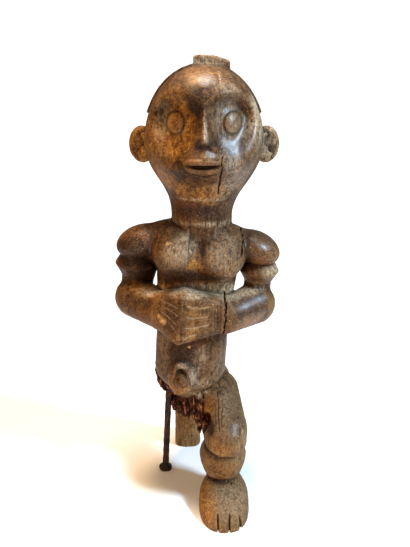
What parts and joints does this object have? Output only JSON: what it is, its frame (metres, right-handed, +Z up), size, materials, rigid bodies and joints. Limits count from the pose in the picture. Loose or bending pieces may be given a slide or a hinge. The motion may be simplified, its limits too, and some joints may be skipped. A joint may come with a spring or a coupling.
{
  "type": "carved wooden reliquary guardian figure",
  "caption": "Seated guardian figure carved from one block of dark wood, hands clasped on the belly, one leg lost at the hip and propped there by an old iron nail, with a post behind.",
  "frame": {"origin": "middle of the footprint box, on the ground under the figure", "axes": "+Z up; the figure faces -Y; its own left side, where the leg is kept, is on +X"},
  "size_m": [0.1582, 0.166, 0.4197],
  "materials": {
    "wood": "dark oiled patina, worn",
    "iron": "rusted"
  },
  "bodies": {
    "root": {"carved_figure": "wood", "iron_nail": "iron"}
  },
  "joints": []
}
